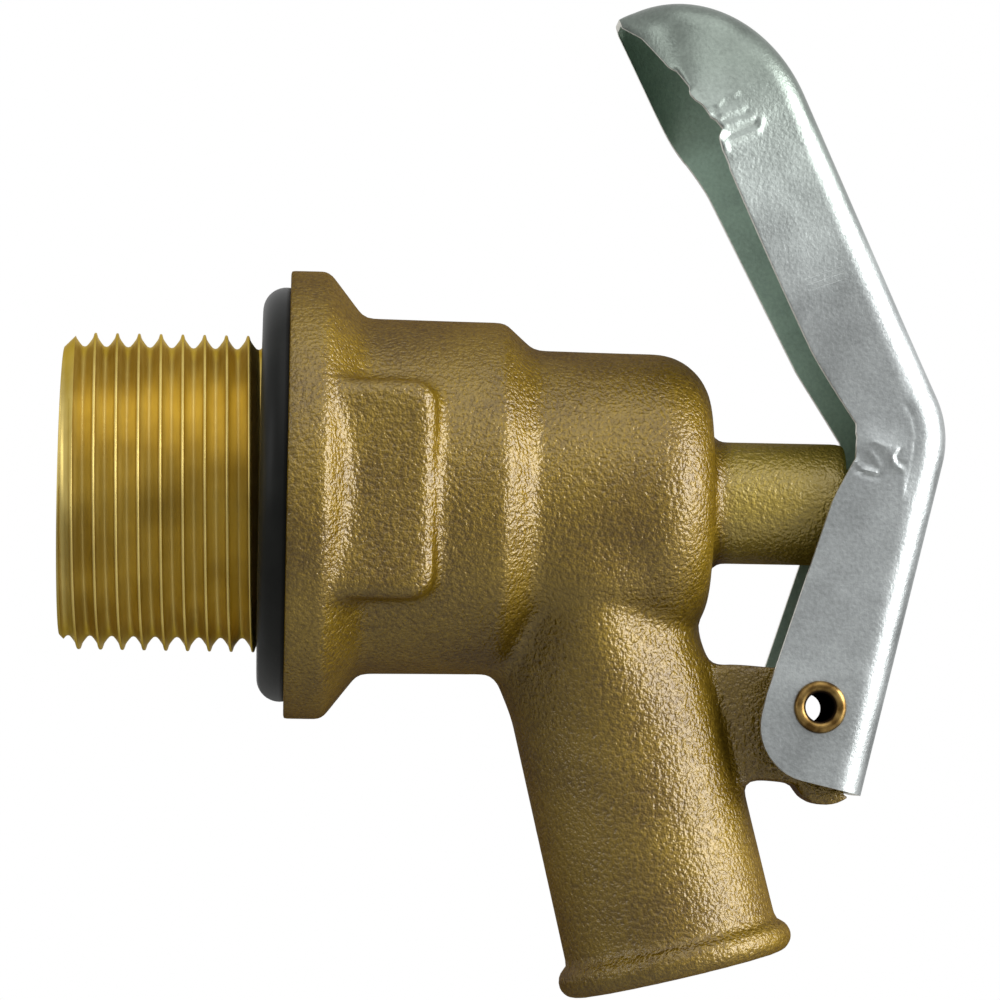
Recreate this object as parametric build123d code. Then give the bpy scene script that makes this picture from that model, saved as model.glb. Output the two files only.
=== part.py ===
"""Self-closing brass drum tap with a folded steel press lever.

Pressing the lever towards the spout pushes the stem in against a spring and lifts a rubber
washer off its seat. Sizes are in millimetres and degrees. The inlet thread's axis is X, the lever
is at +X and +Z is up. The origin is where that axis meets the flange's sealing face.
"""

import os
from math import cos, radians, sin, sqrt, tan

from build123d import *

# Inlet thread, drawn as its crest cylinder, with a relief beside the flange
thread_dia = 26.44
thread_length = 18.75
thread_chamfer = 1.2
relief_length = 3.0
relief_dia = 25.2

# Flange with its face seal
flange_dia = 37.4
flange_rim = 3.2
flange_round = 1.2
flange_flare = 3.0
flare_fillet = 1.2
seal_section = 3.9
seal_bore = 26.8
seal_stand_out = 2.25

# Cast neck, shoulder, barrel and stem boss
neck_dia = 29.7
neck_length = 11.7
shoulder_length = 2.5
shoulder_round = 1.0
shoulder_fillet = 1.6
barrel_dia = 24.9
barrel_length = 14.9
barrel_round = 4.9
casting_draft = 0.7
boss_dia = 10.2
boss_length = 11.2
boss_fillet = 1.2
boss_chamfer = 0.3

# Spanner pads on both sides of the neck
pad_across = 32.4
pad_height = 17.9
pad_end = 12.1
pad_corner = 2.0
pad_edge_round = 1.2

# Spout
spout_x = 22.9
spout_lean = 14.1
spout_length = 40.9
spout_root_dia = 17.2
spout_end_dia = 17.9
spout_bore_dia = 12.6
spout_bore_start = 7.0
spout_mouth_chamfer = 0.5
spout_root_fillet = 1.1
bead_dia = 19.9
bead_width = 2.75

# Waterway inside the body
inlet_bore_dia = 19.5
inlet_mouth_chamfer = 0.6
seat_x = 15.3
seat_bore_dia = 11.2
seat_lip_dia = 13.6
seat_lip_height = 1.0
seat_wall = 3.2
chamber_dia = 18.0
chamber_length = 11.5

# Lever pivot and the lug that carries it
pivot_x = 44.3
pivot_z = -17.0
lug_top = -13.75
lug_bottom = -23.4
lug_width = 6.4
lug_root_fillet = 0.8
nose_dia = 6.0
nose_forward = 0.9
nose_drop = 5.1

# Lever, one folded steel sheet: lengths run along its outer face from the pivot's level
sheet = 1.1
fold_radius = 2.6
channel_width = 13.4
web_offset = 5.25
lower_lean = 13.1
lower_length = 25.1
foot_length = 6.25
foot_corner = 4.6
foot_depth = 9.75
knee_radius = 8.5
knee_depth = 7.9
upper_lean = 25.1
upper_length = 30.3
upper_depth = 8.5
tip_radius = 12.4
tip_sweep = 84.0
tip_depth = 1.3
thumb_web_width = 16.5
thumb_rim_width = 21.5
thumb_fullness = 2.7
thumb_reach = 0.975
rim_clear = 0.3
fold_share = 0.8
knee_steps = 4
tip_steps = 8

# Hollow rivet
rivet_dia = 3.4
rivet_bore_dia = 2.5
rivet_head_dia = 4.3
rivet_head_height = 0.6

# Stem with its seals, washers and nut
stem_dia = 6.0
stem_dome_radius = 5.0
stem_collar_dia = 9.0
stem_collar_length = 1.6
spigot_dia = 5.0
spigot_reach = 1.0
spigot_chamfer = 0.5
stem_seal_section = 1.4
stem_seal_count = 2
stem_seal_spacing = 4.0
stem_seal_from_end = 4.2
seal_groove_play = 0.3
washer_dia = 16.0
washer_thickness = 3.0
backing_dia = 15.4
backing_thickness = 1.6
nut_flats = 8.0
nut_sides = 6
nut_height = 3.4

# Return spring, its spider and the retaining ring
spring_dia = 13.4
spring_wire = 1.2
spring_turns = 6.5
spider_thickness = 3.0
spider_rim = 2.2
spider_hub_dia = 9.6
spoke_width = 2.6
spoke_count = 3
ring_depth = 5.95
ring_thickness = 1.2
ring_width = 2.0
ring_groove_depth = 0.75
ring_gap_angle = 50.0
ring_ear_dia = 3.4
ring_ear_hole_dia = 1.4

# Clearances
running_gap = 0.05
seated_gap = 0.02
lever_gap = 0.3
stem_gap = 0.3
seat_gap = 0.05
overshoot = 5.0

# Stations along X that follow from the sizes above
flare_x = flange_rim + flange_flare
neck_x = flare_x + neck_length
shoulder_x = neck_x + shoulder_length
barrel_x = shoulder_x + barrel_length
boss_x = barrel_x + boss_length
seat_wall_x = seat_x + seat_lip_height
chamber_x = seat_wall_x + seat_wall
chamber_end_x = chamber_x + chamber_length
washer_x = seat_x - seat_gap - washer_thickness
backing_x = washer_x - backing_thickness
nut_x = backing_x - nut_height
ring_x = ring_depth - thread_length
spider_end_x = ring_x + ring_thickness
spider_x = spider_end_x + spider_thickness
groove_x = seal_section - seal_stand_out
seal_ring_radius = (seal_bore + seal_section) / 2


def xz(x, z):
    """A point of the tap's middle plane."""
    return Vector(x, 0, z)


def outline(*points):
    """A face of the middle plane with straight sides."""
    return make_face(Polyline(*points, close=True))


def rounded(face, point, radius):
    """Round the corner of a face that lies at a point."""
    return fillet(face.vertices().sort_by_distance(point)[0], radius)


def turned(*points):
    """Solid of revolution about X from (x, radius) points. A third value rounds that corner."""
    face = outline(*[xz(x, r) for x, r, *_ in points])
    for x, r, *corner in points:
        if corner:
            face = rounded(face, xz(x, r), *corner)
    return revolve(face, Axis.X)


def along_x(start_x):
    """A plane across the X axis that faces +X."""
    return Plane(origin=(start_x, 0, 0), x_dir=(0, 1, 0), z_dir=(1, 0, 0))


def ring(centre_x, centre_radius, section_dia):
    """Round-section ring about the X axis."""
    return along_x(centre_x) * Torus(centre_radius, section_dia / 2)


def washer(start_x, length, outer_dia, inner_dia):
    """Plain washer about the X axis."""
    return extrude(along_x(start_x) * (Circle(outer_dia / 2) - Circle(inner_dia / 2)), length)


def rod(start_x, length, dia):
    """Round bar about the X axis."""
    return extrude(along_x(start_x) * Circle(dia / 2), length)


def across(face, width):
    """Extrude a face of the middle plane equally to both sides."""
    return extrude(face, width / 2, both=True)


def cross_pin(dia, width):
    """Round bar along Y through the lever's pivot."""
    return across(Plane.XZ * Pos(pivot_x, pivot_z) * Circle(dia / 2), width)


# Spout axis
spout_down = xz(sin(radians(spout_lean)), -cos(radians(spout_lean)))
spout_plane = Plane(origin=(spout_x, 0, 0), x_dir=(0, 1, 0), z_dir=spout_down)

# Lever directions: up each arm, and from each arm's outer face inwards
pivot = xz(pivot_x, pivot_z)
lower_along = xz(sin(radians(lower_lean)), cos(radians(lower_lean)))
lower_in = xz(-cos(radians(lower_lean)), sin(radians(lower_lean)))
upper_along = xz(-sin(radians(upper_lean)), cos(radians(upper_lean)))
upper_in = xz(-cos(radians(upper_lean)), -sin(radians(upper_lean)))
knee_turn = lower_lean + upper_lean
web_level = pivot - lower_in * web_offset
knee_corner = web_level + lower_along * lower_length
tip_start = knee_corner + upper_along * upper_length
tip_centre = tip_start + upper_in * tip_radius


def tip_ray(angle):
    """Direction from the tip curve's centre to its outer face, at an angle past the curve's start."""
    lean = radians(upper_lean + angle)
    return xz(cos(lean), sin(lean))


def body_outside():
    """The casting's outer form."""
    draft = tan(radians(casting_draft))
    groove_r = seal_ring_radius + seal_section / 2 + seated_gap
    main = turned(
        (-thread_length, 0),
        (-thread_length, thread_dia / 2 - thread_chamfer),
        (thread_chamfer - thread_length, thread_dia / 2),
        (-relief_length, thread_dia / 2),
        (-relief_length, relief_dia / 2),
        (groove_x, relief_dia / 2),
        (groove_x, groove_r),
        (0, groove_r),
        (0, flange_dia / 2),
        (flange_rim, flange_dia / 2, flange_round),
        (flare_x, neck_dia / 2, flare_fillet),
        (neck_x, neck_dia / 2 - neck_length * draft, shoulder_round),
        (shoulder_x, barrel_dia / 2, shoulder_fillet),
        (barrel_x, barrel_dia / 2 - barrel_length * draft, barrel_round),
        (barrel_x, boss_dia / 2, boss_fillet),
        (boss_x - boss_chamfer, boss_dia / 2),
        (boss_x, boss_dia / 2 - boss_chamfer),
        (boss_x, 0),
    )
    spout = spout_outside()
    blended = blend(main + spanner_pads(), spout, spout_root_fillet)
    return blend(blended, lug(), lug_root_fillet)


def blend(first, second, radius):
    """Join two solids and fillet the edge where they meet."""
    joined = first + second
    return fillet(new_edges(first, second, combined=joined), radius)


def spanner_pads():
    """One block through the neck whose two ends are the spanner pads."""
    block = Pos((flange_rim + pad_end) / 2, 0, 0) * Box(pad_end - flange_rim, pad_across, pad_height)
    far_edges = block.faces().sort_by(Axis.X)[-1].edges().filter_by(Axis.Y)
    block = fillet(far_edges, pad_corner)
    ends = block.faces().filter_by(Axis.Y)
    return fillet([edge for end in ends for edge in end.edges()], pad_edge_round)


def spout_outside():
    """Tapered spout with a rounded bead at its mouth."""
    bead_start = spout_length - bead_width
    bead_r = (bead_dia - bead_width) / 2
    wall = Polyline((0, 0), (spout_root_dia / 2, 0), (spout_end_dia / 2, bead_start), (bead_r, bead_start))
    crown = (bead_dia / 2, spout_length - bead_width / 2)
    bead = ThreePointArc((bead_r, bead_start), crown, (bead_r, spout_length))
    mouth = Polyline((bead_r, spout_length), (0, spout_length), (0, 0))
    profile = make_face(wall + bead + mouth)
    return spout_plane * revolve(Plane.XZ * profile, Axis.Z)


def lug():
    """Rib from the spout to the lever's pivot, with a pivot boss and a nose that stops the lever."""
    nose = pivot + xz(nose_forward, -nose_drop)
    stop_top = pivot - lower_in * (web_offset - sheet - lever_gap)
    stop_low = stop_top - lower_along * nose_drop
    root_x = spout_x - lug_top * tan(radians(spout_lean))
    arm = outline(xz(root_x, lug_top), xz(pivot_x, lug_top), xz(pivot_x, lug_bottom), xz(root_x, lug_bottom))
    heel = outline(pivot, stop_top, stop_low, nose)
    nose_disc = Plane.XZ * Pos(nose.X, nose.Z) * Circle(nose_dia / 2)
    under_foot = web_level - lower_along * (foot_length + lever_gap)
    lever_room = outline(
        stop_top,
        stop_top - lower_along * (foot_length + lever_gap),
        under_foot - lower_in * overshoot,
        under_foot - lower_in * overshoot + lower_along * overshoot,
    )
    rib = across(arm, lug_width) + across(heel, lug_width) + across(nose_disc - lever_room, lug_width)
    boss_width = channel_width - 2 * sheet - 2 * lever_gap
    boss_r = web_offset - fold_radius + lever_gap
    return rib + cross_pin(2 * boss_r, boss_width)


def waterway():
    """Everything that is bored or cored out of the casting."""
    ring_r = inlet_bore_dia / 2 + ring_groove_depth
    gland_r = stem_dia / 2 + running_gap
    main = turned(
        (-thread_length, 0),
        (-thread_length, inlet_bore_dia / 2 + inlet_mouth_chamfer),
        (inlet_mouth_chamfer - thread_length, inlet_bore_dia / 2),
        (ring_x - seated_gap, inlet_bore_dia / 2),
        (ring_x - seated_gap, ring_r),
        (spider_end_x, ring_r),
        (spider_end_x, inlet_bore_dia / 2),
        (seat_wall_x, inlet_bore_dia / 2),
        (seat_wall_x, seat_lip_dia / 2),
        (seat_x, seat_lip_dia / 2),
        (seat_x, seat_bore_dia / 2),
        (chamber_x, seat_bore_dia / 2),
        (chamber_x, chamber_dia / 2),
        (chamber_end_x, chamber_dia / 2),
        (chamber_end_x, gland_r),
        (boss_x, gland_r),
        (boss_x, 0),
    )
    bore_length = spout_length - spout_bore_start
    bore = Pos(0, 0, spout_bore_start) * Cylinder(
        spout_bore_dia / 2, bore_length, align=(Align.CENTER, Align.CENTER, Align.MIN)
    )
    mouth_r = spout_bore_dia / 2 + spout_mouth_chamfer
    mouth = Pos(0, 0, spout_length - spout_mouth_chamfer) * Cone(
        spout_bore_dia / 2, mouth_r, spout_mouth_chamfer, align=(Align.CENTER, Align.CENTER, Align.MIN)
    )
    return main + spout_plane * (bore + mouth)


def valve_body():
    """The whole casting, machined."""
    pivot_hole = cross_pin(rivet_dia + 2 * running_gap, channel_width)
    return body_outside() - waterway() - pivot_hole


def flange_o_ring():
    return ring(groove_x - seated_gap - seal_section / 2, seal_ring_radius, seal_section)


def lever_section(point, inward, web_half, rim_half, depth, inset, past_rim):
    """One cross-section of the lever's channel: filled from its web to its rim, drawn in by an inset."""
    splay = (rim_half - web_half) / depth
    draw_in = inset * sqrt(1 + splay**2)
    web_y = web_half + splay * inset - draw_in
    rim_y = rim_half + splay * past_rim - draw_in
    rim_v = depth + past_rim
    fold = min(fold_radius - inset, fold_share * web_y)
    face = make_face(Polyline((-rim_y, rim_v), (-web_y, inset), (web_y, inset), (rim_y, rim_v), close=True))
    face = fillet(face.vertices().sort_by(Axis.Y)[:2], fold)
    return Plane(origin=point, x_dir=(0, 1, 0), z_dir=Vector(0, 1, 0).cross(inward)) * face


def lever_block(inset, past_foot, past_rim):
    """The lever's filled form in four runs: lower arm, knee, upper arm and thumb tip."""
    half = channel_width / 2
    knee_set_back = knee_radius * tan(radians(knee_turn / 2))
    knee_start = knee_corner - lower_along * knee_set_back
    knee_centre = knee_start + lower_in * knee_radius

    def at(point, inward, web_half, rim_half, depth):
        return lever_section(point, inward, web_half, rim_half, depth, inset, past_rim)

    def knee_at(share):
        lean = radians(lower_lean - share * knee_turn)
        inward = xz(-cos(lean), sin(lean))
        return at(knee_centre - inward * knee_radius, inward, half, half, knee_depth)

    def tip_at(share):
        ray = tip_ray(share * tip_sweep)
        narrowing = (1 - (thumb_reach * share) ** thumb_fullness) ** (1 / thumb_fullness)
        widths = [width / 2 * narrowing for width in (thumb_web_width, thumb_rim_width)]
        return at(tip_centre + ray * tip_radius, ray * -1, *widths, upper_depth)

    foot_at = [at(web_level - lower_along * (foot_length + past_foot), lower_in, half, half, foot_depth)]
    knee_runs = [knee_at(step / knee_steps) for step in range(knee_steps + 1)]
    tip_runs = [tip_at(1 - (1 - step / tip_steps) ** 2) for step in range(tip_steps + 1)]
    level_at = [at(web_level, lower_in, half, half, foot_depth)]
    runs = [
        loft(foot_at + level_at, ruled=True),
        loft(level_at + knee_runs[:1], ruled=True),
        loft(knee_runs),
        loft(knee_runs[-1:] + tip_runs[:1], ruled=True),
        loft(tip_runs),
    ]
    return Part() + runs


def lever_trim():
    """What is cut off the flanges: the round corner at the foot and the slanted mouth at the thumb tip."""
    foot_end = web_level - lower_along * foot_length + lower_in * foot_depth
    corner = outline(
        foot_end - lower_in * foot_corner,
        foot_end - lower_in * foot_corner - lower_along * overshoot,
        foot_end + (lower_in - lower_along) * overshoot,
        foot_end + lower_in * overshoot + lower_along * foot_corner,
        foot_end + lower_along * foot_corner,
    )
    round_centre = foot_end + (lower_along - lower_in) * foot_corner
    kept = Plane.XZ * Pos(round_centre.X, round_centre.Z) * Circle(foot_corner)
    mouth = tip_start + upper_in * upper_depth
    tip_edge = tip_centre + tip_ray(tip_sweep) * (tip_radius - tip_depth)
    left_x = tip_edge.X - 2 * overshoot
    cut = outline(mouth, tip_edge, xz(left_x, tip_edge.Z), xz(left_x, mouth.Z))
    return across(corner - kept, thumb_rim_width * 2) + across(cut, thumb_rim_width * 2)


def lever():
    """Folded channel: its filled form less a smaller one, trimmed, with rivet holes."""
    sheet_form = lever_block(0, 0, 0) - lever_block(sheet, overshoot, rim_clear)
    return sheet_form - lever_trim() - cross_pin(rivet_dia + 2 * seated_gap, thumb_rim_width)


def pivot_rivet():
    """Tube through lug and lever with both ends rolled over the flanges."""
    bore_r = rivet_bore_dia / 2
    shank_r = rivet_dia / 2
    head_r = rivet_head_dia / 2
    flange_y = channel_width / 2
    end_y = flange_y + rivet_head_height
    shank = Polyline((bore_r, 0), (shank_r, 0), (shank_r, flange_y), (head_r, flange_y))
    roll = ThreePointArc((head_r, flange_y), ((shank_r + head_r) / 2, end_y), (bore_r, flange_y))
    half = revolve(make_face(shank + roll + Line((bore_r, flange_y), (bore_r, 0))), Axis.Y)
    return Pos(pivot_x, 0, pivot_z) * (half + mirror(half, Plane.XZ))


def stem_tip_x():
    """Where the stem's domed end stops, a small gap short of the lever's web."""
    lean = radians(lower_lean)
    web_in = web_offset - sheet
    dome_x = (web_in - stem_dome_radius - stem_gap - pivot_z * sin(lean)) / cos(lean)
    return pivot_x + dome_x + stem_dome_radius


def stem_seal_radius():
    """Centre radius of the stem's O-rings, which run in the boss's bore."""
    return stem_dia / 2 + running_gap - seated_gap - stem_seal_section / 2


def stem_seal_x(index):
    """Centre of a stem O-ring, counted from the boss's outer end."""
    return boss_x - stem_seal_from_end - index * stem_seal_spacing


def valve_stem():
    """Turned stem: domed end, two seal grooves, collar, and a long spigot for washers, nut and guide."""
    washer_face_x = seat_x - seat_gap
    tip_x = stem_tip_x()
    spigot_end_x = spider_end_x - spigot_reach
    stem = turned(
        (spigot_end_x, 0),
        (spigot_end_x, spigot_dia / 2 - spigot_chamfer),
        (spigot_end_x + spigot_chamfer, spigot_dia / 2),
        (washer_face_x, spigot_dia / 2),
        (washer_face_x, stem_collar_dia / 2),
        (washer_face_x + stem_collar_length, stem_collar_dia / 2),
        (washer_face_x + stem_collar_length, stem_dia / 2),
        (tip_x, stem_dia / 2),
        (tip_x, 0),
    )
    dome_x = tip_x - stem_dome_radius
    dome = Pos(dome_x, 0, 0) * Sphere(stem_dome_radius)
    stem &= dome + rod(spigot_end_x, dome_x - spigot_end_x, 2 * stem_collar_dia)
    groove_r = stem_seal_radius() - stem_seal_section / 2 - seated_gap
    groove_width = stem_seal_section + seal_groove_play
    for index in range(stem_seal_count):
        groove_x0 = stem_seal_x(index) - groove_width / 2
        stem -= washer(groove_x0, groove_width, 2 * stem_dia, 2 * groove_r)
    return stem


def stem_o_ring(index):
    return ring(stem_seal_x(index), stem_seal_radius(), stem_seal_section)


def seat_washer():
    return washer(washer_x, washer_thickness, washer_dia, spigot_dia + 2 * seated_gap)


def backing_washer():
    return washer(backing_x, backing_thickness, backing_dia, spigot_dia + 2 * seated_gap)


def washer_nut():
    """Hexagon nut with turned corners."""
    flats = RegularPolygon(nut_flats / 2, nut_sides, major_radius=False)
    hexagon = flats - Circle(spigot_dia / 2 + seated_gap)
    prism = extrude(along_x(nut_x) * hexagon, nut_height)
    corner_r = nut_flats / 2 / cos(radians(180 / nut_sides))
    crown = turned(
        (nut_x, 0),
        (nut_x, nut_flats / 2),
        (nut_x + (corner_r - nut_flats / 2) / 2, corner_r),
        (nut_x + nut_height, corner_r),
        (nut_x + nut_height, 0),
    )
    return prism & crown


def return_spring():
    """Round-wire coil with ground ends, between the spider and the backing washer."""
    start_x = spider_x + seated_gap
    length = backing_x - seated_gap - start_x
    coil_r = (spring_dia - spring_wire) / 2
    path = Helix(length / spring_turns, length, coil_r, center=(start_x, 0, 0), direction=(1, 0, 0))
    wire = sweep(Plane(origin=path @ 0, z_dir=path % 0) * Circle(spring_wire / 2), path)
    return wire & rod(start_x, length, 2 * spring_dia)


def spring_spider():
    """Spoked disc: its rim sits on the retaining ring and its hub guides the stem's spigot."""
    rim_dia = inlet_bore_dia - 2 * seated_gap
    rim = Circle(rim_dia / 2) - Circle(rim_dia / 2 - spider_rim)
    hub = Circle(spider_hub_dia / 2)
    reach = rim_dia / 2 - spider_rim / 2
    spoke = Pos(reach / 2, 0) * Rectangle(reach, spoke_width)
    spokes = [Rot(0, 0, turn * 360 / spoke_count) * spoke for turn in range(spoke_count)]
    disc = rim + hub + spokes - Circle(spigot_dia / 2 + running_gap)
    return extrude(along_x(spider_end_x) * disc, spider_thickness)


def retaining_ring():
    """Open ring in the inlet's groove, with an eyed ear at each end."""
    outer_r = inlet_bore_dia / 2 + ring_groove_depth - seated_gap
    band = Circle(outer_r) - Circle(outer_r - ring_width)
    far_x = 2 * outer_r
    far_y = far_x * tan(radians(ring_gap_angle / 2))
    face = band - make_face(Polyline((0, 0), (far_x, far_y), (far_x, -far_y), close=True))
    ear_r = inlet_bore_dia / 2 - ring_ear_dia / 2 - seated_gap
    for side in (1, -1):
        ear = Rot(0, 0, side * ring_gap_angle / 2) * Pos(ear_r, side * ring_ear_dia / 2)
        face = face + ear * Circle(ring_ear_dia / 2) - ear * Circle(ring_ear_hole_dia / 2)
    return extrude(along_x(ring_x) * face, ring_thickness)


def build():
    """Every piece by its name."""
    return {
        "valve_body": valve_body(),
        "flange_o_ring": flange_o_ring(),
        "lever": lever(),
        "pivot_rivet": pivot_rivet(),
        "valve_stem": valve_stem(),
        "stem_o_ring_outer": stem_o_ring(0),
        "stem_o_ring_inner": stem_o_ring(1),
        "seat_washer": seat_washer(),
        "backing_washer": backing_washer(),
        "washer_nut": washer_nut(),
        "return_spring": return_spring(),
        "spring_spider": spring_spider(),
        "retaining_ring": retaining_ring(),
    }


if __name__ == "__main__":
    os.makedirs("parts", exist_ok=True)
    for name, piece in build().items():
        export_step(piece, f"parts/{name}.step")
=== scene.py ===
"""Looks of a self-closing brass drum tap, laid out as an add-on and run as a script."""

from collections import namedtuple
from math import atan2, cos, pi, radians, sin, sqrt, tan

import bpy
from bpy.props import FloatProperty, FloatVectorProperty, PointerProperty
from mathutils import Euler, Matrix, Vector


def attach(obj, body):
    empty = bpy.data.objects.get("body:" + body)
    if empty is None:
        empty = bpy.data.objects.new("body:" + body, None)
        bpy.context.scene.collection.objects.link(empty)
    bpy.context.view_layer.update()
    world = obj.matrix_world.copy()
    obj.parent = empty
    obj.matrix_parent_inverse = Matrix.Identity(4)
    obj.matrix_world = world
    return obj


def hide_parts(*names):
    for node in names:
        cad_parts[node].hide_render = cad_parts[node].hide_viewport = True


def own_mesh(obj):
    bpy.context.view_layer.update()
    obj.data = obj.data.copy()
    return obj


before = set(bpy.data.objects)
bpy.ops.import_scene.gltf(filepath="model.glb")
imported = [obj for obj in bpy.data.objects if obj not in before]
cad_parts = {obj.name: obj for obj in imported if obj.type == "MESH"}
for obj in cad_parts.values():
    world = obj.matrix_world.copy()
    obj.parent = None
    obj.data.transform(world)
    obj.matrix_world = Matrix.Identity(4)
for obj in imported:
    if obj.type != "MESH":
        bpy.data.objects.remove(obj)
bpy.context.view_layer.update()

bl_info = {
    "name": "Brass drum tap",
    "version": (1, 0, 0),
    "blender": (4, 5, 0),
    "location": "View3D > Sidebar > Tap",
    "description": "Dresses the tap's frame with its thread, folded lever, finishes and studio",
    "category": "Object",
}

MM = 0.001
# The lever's pivot in the middle plane, as (x, z) in millimetres
PIVOT = Vector((44.3, -17.0))


def linear(hex_colour):
    """sRGB hex to the linear colour that shaders take."""
    channels = [int(hex_colour[i : i + 2], 16) / 255 for i in (1, 3, 5)]
    return [c / 12.92 if c <= 0.04045 else ((c + 0.055) / 1.055) ** 2.4 for c in channels] + [1.0]


def per_metre(size_mm):
    """Texture scale at which one feature is about this long."""
    return 1 / (size_mm * MM)


def add(tree, kind, values=None, links=None):
    """Add a node. Lower-case keys are its settings, the others name or number its sockets."""
    node = tree.nodes.new(kind)
    for key, value in (values or {}).items():
        if key == "stops":
            ramp = node.color_ramp.elements
            while len(ramp) < len(value):
                ramp.new(0.5)
            for element, (position, colour) in zip(ramp, value):
                element.position = position
                element.color = colour
        elif isinstance(key, str) and key.islower():
            setattr(node, key, value)
        else:
            node.inputs[key].default_value = value
    for key, source in (links or {}).items():
        tree.links.new(source, node.inputs[key])
    return node


def new_material(name):
    """An empty node material, made once."""
    old = bpy.data.materials.get(name)
    if old:
        bpy.data.materials.remove(old)
    material = bpy.data.materials.new(name)
    material.use_nodes = True
    material.node_tree.nodes.clear()
    return material


BLACK = linear("#000000")
WHITE = linear("#FFFFFF")


class TapSizes(bpy.types.PropertyGroup):
    """Sizes that the frame leaves to the looks."""

    pitch: FloatProperty(
        name="Thread pitch",
        description="Distance from crest to crest, fourteen threads to the inch",
        default=1.814 * MM,
        unit="LENGTH",
    )
    crest_radius: FloatProperty(
        name="Thread crest radius",
        description="Outer radius of the thread",
        default=13.22 * MM,
        unit="LENGTH",
    )
    root_radius: FloatProperty(
        name="Thread root radius",
        description="Radius at the thread's root",
        default=12.06 * MM,
        unit="LENGTH",
    )
    thread_start: FloatProperty(
        name="Thread start",
        description="X of the thread's end beside the flange",
        default=-2.3 * MM,
        unit="LENGTH",
    )
    thread_end: FloatProperty(
        name="Thread end",
        description="X of the inlet's end face",
        default=-18.75 * MM,
        unit="LENGTH",
    )
    end_radius: FloatProperty(
        name="End radius",
        description="Radius of the inlet's end face",
        default=12.02 * MM,
        unit="LENGTH",
    )
    bore_radius: FloatProperty(
        name="Bore radius",
        description="Radius of the inlet's mouth",
        default=9.7 * MM,
        unit="LENGTH",
    )
    spring_start: FloatProperty(
        name="Spring start",
        description="X of the spring's end on its spider",
        default=-8.58 * MM,
        unit="LENGTH",
    )
    spring_length: FloatProperty(
        name="Spring length",
        description="Length of the spring with the tap shut",
        default=19.21 * MM,
        unit="LENGTH",
    )
    spring_radius: FloatProperty(
        name="Spring radius",
        description="Radius of the coil at the wire's middle",
        default=6.1 * MM,
        unit="LENGTH",
    )
    spring_wire: FloatProperty(
        name="Spring wire",
        description="Diameter of the spring's wire",
        default=1.2 * MM,
        unit="LENGTH",
    )
    stem_travel: FloatProperty(
        name="Stem travel",
        description="How far the stem's joint can shorten the spring",
        default=5.0 * MM,
        unit="LENGTH",
    )
    casting_grid: FloatProperty(
        name="Casting grid",
        description="Mesh size that the casting is softened in",
        default=0.48 * MM,
        unit="LENGTH",
    )


class TapFinishes(bpy.types.PropertyGroup):
    """Main colours of the finishes, in linear values."""

    cast_light: FloatVectorProperty(
        name="Cast brass",
        description="Cleaned sand-cast brass",
        default=linear("#725D1A"),
        size=4,
        subtype="COLOR",
    )
    cast_dark: FloatVectorProperty(
        name="Cast brass, dull",
        description="Tarnished hollows",
        default=linear("#523F10"),
        size=4,
        subtype="COLOR",
    )
    turned: FloatVectorProperty(
        name="Machined brass",
        description="Freshly cut brass",
        default=linear("#C6B26C"),
        size=4,
        subtype="COLOR",
    )
    zinc: FloatVectorProperty(
        name="Zinc plate",
        description="Silver-grey zinc plating",
        default=linear("#9FA3A3"),
        size=4,
        subtype="COLOR",
    )
    zinc_green: FloatVectorProperty(
        name="Zinc plate, passivated",
        description="Greenish passivation",
        default=linear("#6E786F"),
        size=4,
        subtype="COLOR",
    )
    # The inside's copy of the plate is greener with passivation, and with less metal and more roughness it
    # renders darker: painted shade inside the channel.
    zinc_inside_shade: FloatVectorProperty(
        name="Zinc plate, inside",
        description="Darker greenish plating inside the channel",
        default=linear("#98B0A0"),
        size=4,
        subtype="COLOR",
    )
    rubber: FloatVectorProperty(
        name="Seal rubber",
        description="Black nitrile rubber",
        default=linear("#0D0E0C"),
        size=4,
        subtype="COLOR",
    )


def select_only(obj):
    """Make one object active and the only one selected."""
    bpy.ops.object.select_all(action="DESELECT")
    obj.select_set(True)
    bpy.context.view_layer.objects.active = obj


def pick_vertices(obj, wanted):
    """Select an object's vertices by a test of their place, in edit mode."""
    bpy.ops.object.mode_set(mode="EDIT")
    bpy.ops.mesh.select_mode(type="VERT")
    bpy.ops.mesh.select_all(action="DESELECT")
    bpy.ops.object.mode_set(mode="OBJECT")
    for vertex in obj.data.vertices:
        vertex.select = wanted(vertex.co)
    bpy.ops.object.mode_set(mode="EDIT")


def copy_of_node(node, name):
    """A merged copy of a frame node's mesh, as an object of its own."""
    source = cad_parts[node]
    obj = bpy.data.objects.new(name, source.data.copy())
    bpy.context.scene.collection.objects.link(obj)
    select_only(obj)
    obj.data.materials.clear()
    if obj.data.has_custom_normals:
        bpy.ops.mesh.customdata_custom_splitnormals_clear()
    bpy.ops.object.mode_set(mode="EDIT")
    bpy.ops.mesh.select_all(action="SELECT")
    bpy.ops.mesh.remove_doubles(threshold=0.001 * MM)
    bpy.ops.object.mode_set(mode="OBJECT")
    return obj


def dress(nodes, material):
    """Give frame nodes a finish."""
    for node in nodes:
        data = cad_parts[node].data
        data.materials.clear()
        data.materials.append(material)


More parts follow.
